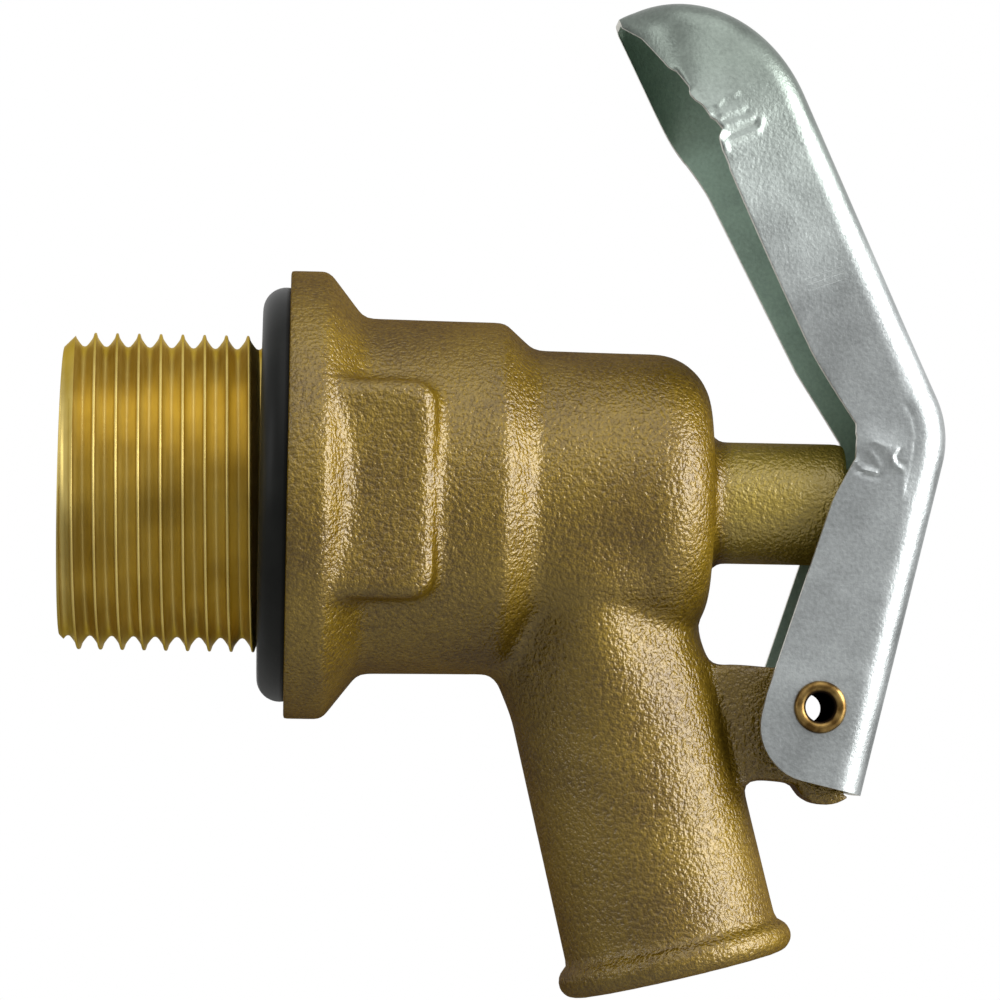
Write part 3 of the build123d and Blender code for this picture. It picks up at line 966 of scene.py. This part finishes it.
def lever_stations():
    """The sections along the lever, from its foot to the thumb tip."""
    rows = []
    for step in range(FOOT_ROWS + 1):
        up = FOOT_LENGTH * (1 - cos(pi / 2 * step / FOOT_ROWS))
        short = max(FOOT_CORNER - up, 0)
        depth = FOOT_DEPTH - FOOT_CORNER + sqrt(FOOT_CORNER**2 - short**2)
        point = WEB_LEVEL - LOWER_UP * (FOOT_LENGTH - up)
        rows.append(Station(point, LOWER_IN, HALF_WEB, HALF_WEB, depth, FOOT_DEPTH))
    turn = LOWER_LEAN + UPPER_LEAN
    knee_start = KNEE - LOWER_UP * KNEE_RADIUS * tan(turn / 2)
    knee_centre = knee_start + LOWER_IN * KNEE_RADIUS
    for share in spaced(((0.76, 24), (1.0, 24))):
        depth = mixed(FOOT_DEPTH, KNEE_DEPTH, share)
        point = WEB_LEVEL.lerp(knee_start, share)
        near_extra = -knee_cut((knee_start - point).length, *KNEE_CUT_BELOW)
        rows.append(Station(point, LOWER_IN, HALF_WEB, HALF_WEB, depth, depth, near_extra))
    for step in range(KNEE_ROWS + 1):
        lean = LOWER_LEAN - turn * step / KNEE_ROWS
        inward = Vector((-cos(lean), sin(lean)))
        point = knee_centre - inward * KNEE_RADIUS
        rows.append(Station(point, inward, HALF_WEB, HALF_WEB, KNEE_DEPTH, KNEE_DEPTH, -KNEE_RIM_CUT))
    knee_end = rows[-1].point
    for share in spaced(((0.15, 16), (0.7, 26), (1.0, 34))):
        widening = share**2 / (2 * SOFT_START) if share < SOFT_START else share - SOFT_START / 2
        widening /= 1 - SOFT_START / 2
        web = mixed(HALF_WEB, THUMB_WEB, widening)
        rim = mixed(HALF_WEB, THUMB_RIM, widening)
        depth = mixed(KNEE_DEPTH, TIP_DEPTH, share)
        point = knee_end.lerp(TIP_START, share)
        near_extra = NEAR_RIM_EXTRA * sin(pi * share) - knee_cut((point - knee_end).length, *KNEE_CUT_ABOVE)
        near_extra -= NEAR_TIP_CUT * max(share - NEAR_TIP_START, 0) / (1 - NEAR_TIP_START)
        far_extra = FAR_RIM_EXTRA * min(4 * share, 1)
        far_extra += FAR_THUMB_EXTRA * (max(share - FAR_THUMB_START, 0) / (1 - FAR_THUMB_START)) ** 1.5
        rows.append(Station(point, UPPER_IN, web, rim, depth, depth, near_extra, far_extra))
    mouth = TIP_START + UPPER_IN * TIP_DEPTH
    end = UPPER_LEAN + TIP_SWEEP
    slope = TIP_CENTRE + Vector((cos(end), sin(end))) * (TIP_RADIUS - TIP_EDGE_DEPTH) - mouth
    for step in range(TIP_ROWS + 1):
        share = 1 - (1 - step / TIP_ROWS) ** 1.3
        lean = UPPER_LEAN + TIP_SWEEP * share
        ray = Vector((cos(lean), sin(lean)))
        point = TIP_CENTRE + ray * (TIP_RADIUS + TIP_SWELL * sin(pi * share**1.6))
        depth = (point - mouth).cross(slope) / ray.cross(slope)
        narrow = (1 - (TIP_NARROWING * share) ** TIP_ROUNDNESS) ** (1 / TIP_ROUNDNESS)
        rim_share = min(max((point - ray * depth - mouth).dot(slope) / slope.length_squared, 0), 1)
        slant = ray.cross(slope) / slope.length
        near_cut = (NEAR_TIP_CUT + NEAR_TIP_HOLLOW * sin(pi * rim_share)) * min(4 * (1 - rim_share), 1)
        near_extra = -near_cut / slant
        far_extra = (FAR_RIM_EXTRA + FAR_THUMB_EXTRA) * (1 - rim_share**2.6) / slant
        web, rim = THUMB_WEB * narrow, THUMB_RIM * narrow
        thinning = TIP_THINNING * share**2
        rows.append(Station(point, -ray, web, rim, depth, TIP_DEPTH, near_extra, far_extra, thinning))
    return rows


FLANGE_STEPS = 34
FOLD_STEPS = 7
WEB_STEPS = 5
# How far a flange stands out beyond the sheet at least
LEAST_FLANGE = 0.15


def lever_section(web, rim, depth, full_depth, inset):
    """Half of a channel section from its rim to the middle of its web, as (y, depth) pairs."""
    splay = (rim - web) / full_depth
    lean = atan2(splay, 1)
    half_angle = (pi / 2 + lean) / 2
    outer_fold = min(FOLD, 0.8 * web, 0.85 * depth * tan(half_angle) / cos(lean))
    fold = max(outer_fold - inset, 0.2)
    corner = web + splay * inset - inset / cos(lean)
    tangent = fold / tan(half_angle)
    flange_end = inset + tangent * cos(lean)
    points = []
    for step in range(FLANGE_STEPS):
        v = mixed(depth, flange_end, step / FLANGE_STEPS)
        points.append((corner + splay * (v - inset), v))
    for step in range(FOLD_STEPS):
        angle = mixed(lean, pi / 2, step / FOLD_STEPS)
        points.append((corner - tangent + fold * cos(angle), inset + fold - fold * sin(angle)))
    for step in range(WEB_STEPS + 1):
        points.append((mixed(corner - tangent, 0, step / WEB_STEPS), inset))
    return points


def sheet_face(name, inset):
    """One face of the lever's sheet: a grid laid along the channel's sections."""
    rows = lever_stations()
    columns = 2 * (FLANGE_STEPS + FOLD_STEPS + WEB_STEPS) + 1
    bpy.ops.object.select_all(action="DESELECT")
    bpy.ops.mesh.primitive_grid_add(x_subdivisions=columns - 1, y_subdivisions=len(rows) - 1, size=1.0)
    face = bpy.context.object
    face.name = name
    for vertex in face.data.vertices:
        row = round((vertex.co.y + 0.5) * (len(rows) - 1))
        column = round((vertex.co.x + 0.5) * (columns - 1))
        near = column < columns / 2
        station = rows[row]
        extra = station.near_extra if near else station.far_extra
        left = 1 - station.thinning
        depth = max(station.depth + extra, SHEET * left + LEAST_FLANGE)
        section = lever_section(station.web, station.rim, depth, station.full_depth, inset * left)
        y, v = section[min(column, columns - 1 - column)]
        at = station.point + station.inward * v
        place = Vector((at.x, -y if near else y, at.y))
        if near and y > HALF_WEB - 0.5 * FOLD:
            place += crease_push(at)
        vertex.co = place * MM
    return face


# Creases in the near flange: a line of (x, z) points, its push (x, y, z) and how far to each side that
# reaches, in millimetres
CREASES = (
    # Crumpled rim under the thumb: notches, nubs and a hook
    (((31.3, 35.2), (32.3, 33.7)), (0.24, 0.1, 0.16), 0.75),
    (((32.6, 33.5), (33.0, 32.8)), (-0.14, -0.12, -0.06), 0.55),
    (((33.4, 32.3), (34.1, 31.5)), (0.1, -0.1, 0.06), 0.5),
    (((34.5, 31.0), (35.0, 30.2)), (0.32, 0.12, 0.16), 0.6),
    (((35.0, 29.9), (35.5, 28.7)), (-0.1, -0.2, -0.05), 0.55),
    (((35.6, 28.2), (35.9, 27.6)), (0.14, 0.06, 0.06), 0.6),
    # Wrinkles that run from it across the flange
    (((35.6, 29.2), (38.1, 30.4), (38.5, 31.1)), (0.0, -0.16, 0.0), 0.55),
    (((35.9, 29.9), (37.9, 30.9)), (0.0, 0.12, 0.0), 0.5),
    (((35.2, 30.6), (37.7, 31.3)), (0.0, -0.1, 0.0), 0.45),
    (((35.4, 31.1), (37.3, 31.8)), (0.0, 0.08, 0.0), 0.4),
    (((35.1, 31.6), (36.9, 32.2)), (0.0, -0.1, 0.0), 0.45),
    (((34.7, 32.4), (35.3, 33.1), (36.3, 33.4)), (0.0, -0.12, 0.0), 0.6),
    # Metal bunched up inside the knee, its lower lip, a small fold, a crescent and the bend's long crease
    (((48.4, 5.0), (49.4, 4.6)), (0.0, -0.3, 0.0), 2.6),
    (((46.7, 3.6), (47.1, 3.0), (47.7, 2.7), (48.6, 2.5)), (0.0, -0.2, 0.0), 0.45),
    (((46.9, 3.1), (47.2, 2.6), (47.8, 2.3), (48.8, 2.1)), (0.0, 0.16, 0.0), 0.4),
    (((48.1, 4.2), (48.9, 3.1)), (0.0, -0.12, 0.0), 0.5),
    (((50.3, 4.4), (49.9, 4.0), (50.1, 3.3), (50.7, 2.8)), (0.0, -0.15, 0.0), 0.4),
    (((50.6, 4.2), (50.3, 3.9), (50.5, 3.4), (51.0, 3.1)), (0.0, 0.1, 0.0), 0.35),
    (
        ((51.1, 8.1), (51.7, 7.1), (52.0, 5.7), (51.8, 3.9), (51.4, 1.7), (51.2, 0.6)),
        (0.0, 0.08, 0.0),
        0.45,
    ),
    (((50.9, 2.8), (50.9, 0.6)), (0.0, -0.06, 0.0), 0.35),
)


def crease_push(at):
    """How far the creases move a point of the near flange, in millimetres."""
    total = Vector((0.0, 0.0, 0.0))
    for line, push, reach in CREASES:
        gap = reach
        for start, end in zip(line, line[1:]):
            along = Vector(end) - Vector(start)
            share = (at - Vector(start)).dot(along) / along.length_squared
            gap = min(gap, (at - Vector(start) - along * min(max(share, 0), 1)).length)
        total += Vector(push) * (1 - gap / reach) ** 2
    return total


RIVET_HOLE_RADIUS = 1.72 * MM


class TAP_OT_lever(bpy.types.Operator):
    """Press lever: one steel sheet, folded to a channel, with the dents and creases of its pressing"""

    bl_idname = "tap.lever"
    bl_label = "Press lever"

    def execute(self, context):
        finishes = context.scene.tap_finishes
        lever = sheet_face("press_lever", 0.0)
        green = finishes.zinc_inside_shade
        outside_finish = zinc_plate("zinc_plated_steel", finishes.zinc, finishes.zinc_green, 0.3, 1.0)
        edge_finish = cut_edge_painted_highlight()
        # The channel's inside gets its own darker, greener copy of the plate: painted shade, with the
        # passivation's green.
        shaded_inside_finish = zinc_plate("zinc_plated_steel_inside_shaded", green, green, 0.45, 0.5)
        for finish in (outside_finish, edge_finish, shaded_inside_finish):
            lever.data.materials.append(finish)
        outer_count = len(lever.data.vertices)
        inner = sheet_face("lever_inside", SHEET)
        select_only(lever)
        inner.select_set(True)
        bpy.ops.object.join()
        bpy.ops.object.mode_set(mode="EDIT")
        bpy.ops.mesh.select_mode(type="EDGE")
        bpy.ops.mesh.select_all(action="DESELECT")
        bpy.ops.mesh.select_non_manifold()
        bpy.ops.mesh.bridge_edge_loops()
        bpy.ops.mesh.select_all(action="SELECT")
        bpy.ops.mesh.normals_make_consistent(inside=False)
        bpy.ops.object.mode_set(mode="OBJECT")
        for face in lever.data.polygons:
            outside = [corner < outer_count for corner in face.vertices]
            face.material_index = 0 if all(outside) else 1 if any(outside) else 2
        apply_modifier(
            lever, "BEVEL", width=0.26 * MM, segments=3, limit_method="ANGLE", angle_limit=radians(50)
        )
        bpy.ops.object.select_all(action="DESELECT")
        bpy.ops.mesh.primitive_cylinder_add(
            vertices=64,
            radius=RIVET_HOLE_RADIUS,
            depth=20 * MM,
            location=(PIVOT.x * MM, 0, PIVOT.y * MM),
            rotation=(pi / 2, 0, 0),
        )
        drill = context.object
        apply_modifier(lever, "BOOLEAN", operation="DIFFERENCE", object=drill, solver="EXACT")
        bpy.data.objects.remove(drill)
        select_only(lever)
        bpy.ops.object.shade_smooth_by_angle(angle=radians(40))
        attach(lever, "lever")
        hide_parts("lever")
        return {"FINISHED"}


class TAP_OT_seals(bpy.types.Operator):
    """Rubber seals: the flange's O-ring, the stem's O-rings and the seat washer"""

    bl_idname = "tap.seals"
    bl_label = "Seals"

    def execute(self, context):
        rubber = seal_rubber(context.scene.tap_finishes)
        dress(["flange_o_ring", "stem_o_ring_outer", "stem_o_ring_inner", "seat_washer"], rubber)
        return {"FINISHED"}


class TAP_OT_rivet(bpy.types.Operator):
    """Hollow rivet that the lever turns on"""

    bl_idname = "tap.rivet"
    bl_label = "Pivot rivet"

    def execute(self, context):
        dress(["pivot_rivet"], rivet_brass())
        return {"FINISHED"}


SPRING_TURNS = 6.5
SPRING_STEPS = 48
WIRE_SIDES = 20


def coil_spring(sizes):
    """Round wire wound about X at an even pitch, and ground flat at each end."""
    pitch = sizes.spring_length / SPRING_TURNS
    first = sizes.spring_start - pitch / 2
    bpy.ops.object.select_all(action="DESELECT")
    bpy.ops.mesh.primitive_circle_add(
        vertices=WIRE_SIDES,
        radius=sizes.spring_wire / 2,
        location=(first, 0, sizes.spring_radius),
        rotation=(pi / 2, 0, 0),
    )
    spring = bpy.context.object
    spring.name = "coil_spring"
    bpy.ops.object.transform_apply(location=True, rotation=True, scale=True)
    wind(spring, SPRING_STEPS, pitch, int(SPRING_TURNS) + 2)
    cut_ends(sizes.spring_start, sizes.spring_start + sizes.spring_length, 0.0001 * MM)
    bpy.ops.object.shade_smooth_by_angle(angle=radians(40))
    return spring


class TAP_OT_inner_works(bpy.types.Operator):
    """Stem, washer, nut, spider and retaining ring, and the return spring at its shut length"""

    bl_idname = "tap.inner_works"
    bl_label = "Inner works"

    def execute(self, context):
        brass = bpy.data.materials["machined_brass"]
        dress(["valve_stem", "backing_washer", "washer_nut", "spring_spider"], brass)
        steel = spring_steel()
        dress(["retaining_ring"], steel)
        sizes = context.scene.tap_sizes
        spring = coil_spring(sizes)
        spring.data.materials.append(steel)
        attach(spring, "body")
        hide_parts("return_spring")
        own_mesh(spring)
        return {"FINISHED"}


def area_lamp(name, place_mm, aim_mm, size_mm, power):
    """Soft lamp that the camera doesn't see."""
    bpy.ops.object.light_add(type="AREA", location=Vector(place_mm) * MM)
    lamp = bpy.context.object
    lamp.name = name
    lamp.data.shape = "RECTANGLE"
    lamp.data.size, lamp.data.size_y = (side * MM for side in size_mm)
    lamp.data.energy = power
    lamp.rotation_euler = (Vector(aim_mm) - Vector(place_mm)).to_track_quat("-Z", "Y").to_euler()
    lamp.visible_camera = False


class TAP_OT_stage(bpy.types.Operator):
    """Pale floor, white surround, soft lamps and the camera"""

    bl_idname = "tap.stage"
    bl_label = "Stage"

    def execute(self, context):
        bpy.ops.object.select_all(action="DESELECT")
        bpy.ops.mesh.primitive_plane_add(size=3.4, location=(0, -0.3, -130 * MM))
        floor = bpy.context.object
        floor.name = "floor"
        paint = new_material("pale_floor_paint")
        tree = paint.node_tree
        matt = add(tree, "ShaderNodeBsdfDiffuse", {"Color": linear("#C8C8C6")})
        add(tree, "ShaderNodeOutputMaterial", links={"Surface": matt.outputs[0]})
        floor.data.materials.append(paint)

        world = bpy.data.worlds.new("white_surround")
        context.scene.world = world
        world.use_nodes = True
        tree = world.node_tree
        tree.nodes.clear()
        path = add(tree, "ShaderNodeLightPath")
        seen = add(
            tree,
            "ShaderNodeMath",
            {"operation": "MAXIMUM"},
            {0: path.outputs["Is Camera Ray"], 1: path.outputs["Is Glossy Ray"]},
        )
        shown = add(
            tree,
            "ShaderNodeMath",
            {"operation": "MAXIMUM"},
            {0: seen.outputs[0], 1: path.outputs["Is Transmission Ray"]},
        )
        strength = add(
            tree, "ShaderNodeMapRange", {"To Min": 0.35, "To Max": 1.0}, {"Value": shown.outputs[0]}
        )
        surround = add(tree, "ShaderNodeBackground", {"Color": WHITE}, {"Strength": strength.outputs[0]})
        add(tree, "ShaderNodeOutputWorld", links={"Surface": surround.outputs[0]})

        area_lamp("key_lamp", (455, -150, 105), (24, 0, 0), (340, 400), 5.2)
        area_lamp("top_lamp", (40, -250, 430), (24, 0, 0), (420, 560), 1.2)
        area_lamp("left_lamp", (-430, -180, 140), (-10, 0, 0), (180, 240), 0.45)

        bpy.ops.object.camera_add()
        camera = bpy.context.object
        camera.data.lens = 216.0
        camera.data.sensor_width = 36.0
        camera.data.clip_start = 10 * MM
        camera.location = Vector((0.6, -501.0, -22.0)) * MM
        aim = Vector((17.8, 0.0, -0.1)) * MM - camera.location
        turn = aim.to_track_quat("-Z", "Y")
        roll = Euler((0, 0, radians(1.0))).to_quaternion()
        camera.rotation_euler = (turn @ roll).to_euler()
        context.scene.camera = camera
        context.scene.view_settings.view_transform = "Standard"
        return {"FINISHED"}


class TAP_PT_pieces(bpy.types.Panel):
    """Lists the tap's pieces in the sidebar"""

    bl_idname = "TAP_PT_pieces"
    bl_label = "Brass drum tap"
    bl_space_type = "VIEW_3D"
    bl_region_type = "UI"
    bl_category = "Tap"

    def draw(self, context):
        for name in ("tap_sizes", "tap_finishes"):
            group = getattr(context.scene, name)
            for key in group.__annotations__:
                self.layout.prop(group, key)
        for operator in OPERATORS:
            self.layout.operator(operator.bl_idname)


GROUPS = (TapSizes, TapFinishes)
OPERATORS = (TAP_OT_casting, TAP_OT_lever, TAP_OT_seals, TAP_OT_rivet, TAP_OT_inner_works, TAP_OT_stage)


def register():
    """Add the tap's properties, operators and panel."""
    for cls in GROUPS + OPERATORS + (TAP_PT_pieces,):
        bpy.utils.register_class(cls)
    bpy.types.Scene.tap_sizes = PointerProperty(type=TapSizes)
    bpy.types.Scene.tap_finishes = PointerProperty(type=TapFinishes)


def unregister():
    """Take them away again."""
    del bpy.types.Scene.tap_finishes
    del bpy.types.Scene.tap_sizes
    for cls in reversed(GROUPS + OPERATORS + (TAP_PT_pieces,)):
        bpy.utils.unregister_class(cls)


def main():
    """Build every piece in order."""
    register()
    bpy.ops.tap.casting()
    bpy.ops.tap.lever()
    bpy.ops.tap.seals()
    bpy.ops.tap.rivet()
    bpy.ops.tap.inner_works()
    bpy.ops.tap.stage()


if __name__ == "__main__":
    main()
